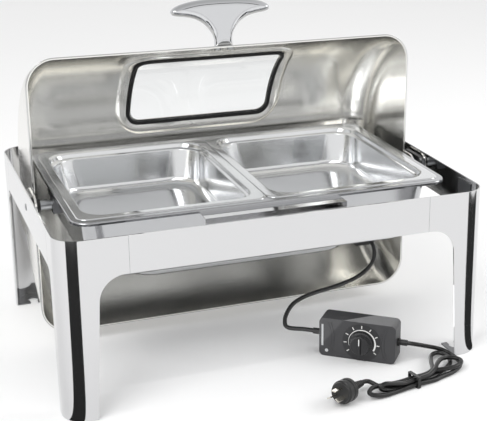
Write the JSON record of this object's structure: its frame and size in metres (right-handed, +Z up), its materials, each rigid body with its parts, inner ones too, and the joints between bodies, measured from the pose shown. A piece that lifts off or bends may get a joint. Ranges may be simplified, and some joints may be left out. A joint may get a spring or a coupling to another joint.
{
  "type": "roll top chafer",
  "caption": "Electric roll top chafer: rectangular frame on four sheet legs, swing-over lid with a window, two half-size pans over a water pan, and an inline dial controller on its cord.",
  "frame": {"origin": "the floor, under the middle of the rectangular frame", "axes": "+X right along the long rails (longest extent), +Y to the back, +Z up; the front rail and the open mouth of the lid face -Y"},
  "size_m": [0.6152, 0.5613, 0.5023],
  "materials": {
    "polished_sheet": "stainless sheet, mirror polished, seen as soft reflections",
    "satin_sheet": "stainless sheet, satin brushed along the lid",
    "pan_steel": "deep-drawn stainless, bright satin",
    "dark_steel": "bare stainless strip",
    "cast_chrome": "cast zinc, chrome plated",
    "screw_steel": "zinc-plated screws and rivets",
    "window_glass": "clear toughened glass",
    "black_rubber": "black silicone rubber",
    "black_nylon": "black nylon",
    "cord_jacket": "black flexible cord jacket, matt",
    "box_plastic": "charcoal moulded housing, fine texture",
    "knob_plastic": "dark knob, smooth",
    "scale_print": "dark plate with white printed marks",
    "light_plastic": "light grey translucent plastic",
    "element_steel": "heater tube, oxidised",
    "board": "green circuit board",
    "blade_brass": "nickel plated blades"
  },
  "bodies": {
    "frame": {"leg_front_left": "polished_sheet", "leg_front_right": "polished_sheet", "leg_back_left": "polished_sheet", "leg_back_right": "polished_sheet", "rail_front": "polished_sheet", "rail_back": "polished_sheet", "rail_left": "polished_sheet", "rail_right": "polished_sheet", "foot_front_left": "dark_steel", "foot_front_right": "dark_steel", "foot_back_left": "dark_steel", "foot_back_right": "dark_steel", "splice_plates": "dark_steel", "pivot_bracket_left": "dark_steel", "pivot_bracket_right": "dark_steel", "pivot_pin_left": "screw_steel", "pivot_pin_right": "screw_steel", "pan_saddle_left": "dark_steel", "pan_saddle_right": "dark_steel", "front_shelf": "polished_sheet", "water_pan": "pan_steel", "heater_dish": "pan_steel", "heating_element": "element_steel", "element_clips": "dark_steel", "terminal_box": "black_nylon", "cord_gland": "black_nylon", "heater_cord": "cord_jacket", "controller_front": "box_plastic", "controller_back": "box_plastic", "dial_scale": "scale_print", "potentiometer": "screw_steel", "circuit_board": "board", "indicator_lamp": "light_plastic", "light_strip": "light_plastic", "relief_left": "black_nylon", "relief_right": "black_nylon", "mains_cord": "cord_jacket", "cord_hank": "cord_jacket", "cord_tie": "black_nylon", "plug_body": "black_nylon", "plug_blades": "blade_brass", "plug_relief": "black_nylon"},
    "lid": {"lid_shell": "satin_sheet", "lid_band": "satin_sheet", "window_frame": "satin_sheet", "window_gasket": "black_rubber", "window_glass": "window_glass", "handle": "cast_chrome", "handle_screws": "screw_steel", "lid_hub_left": "satin_sheet", "lid_hub_right": "satin_sheet", "hub_rivets": "screw_steel", "pivot_bush_left": "black_nylon", "pivot_bush_right": "black_nylon"},
    "pan_left": {"food_pan_left": "pan_steel"},
    "pan_right": {"food_pan_right": "pan_steel"},
    "dial": {"dial_knob": "knob_plastic"}
  },
  "joints": [
    {"name": "lid_hinge", "type": "hinge", "parent": "frame", "child": "lid", "pos_m": [0, 0, 0.228], "axis": [1, 0, 0], "range_deg": [0, 90]},
    {"name": "pan_left_lift", "type": "slide", "parent": "frame", "child": "pan_left", "axis": [0, 0, 1], "range_m": [0, 0.04]},
    {"name": "pan_right_lift", "type": "slide", "parent": "frame", "child": "pan_right", "axis": [0, 0, 1], "range_m": [0, 0.04]},
    {"name": "dial_turn", "type": "hinge", "parent": "frame", "child": "dial", "pos_m": [0.1256, -0.1995, 0.0282], "axis": [-0.6293, -0.7771, 0], "range_deg": [-270, 0]}
  ]
}
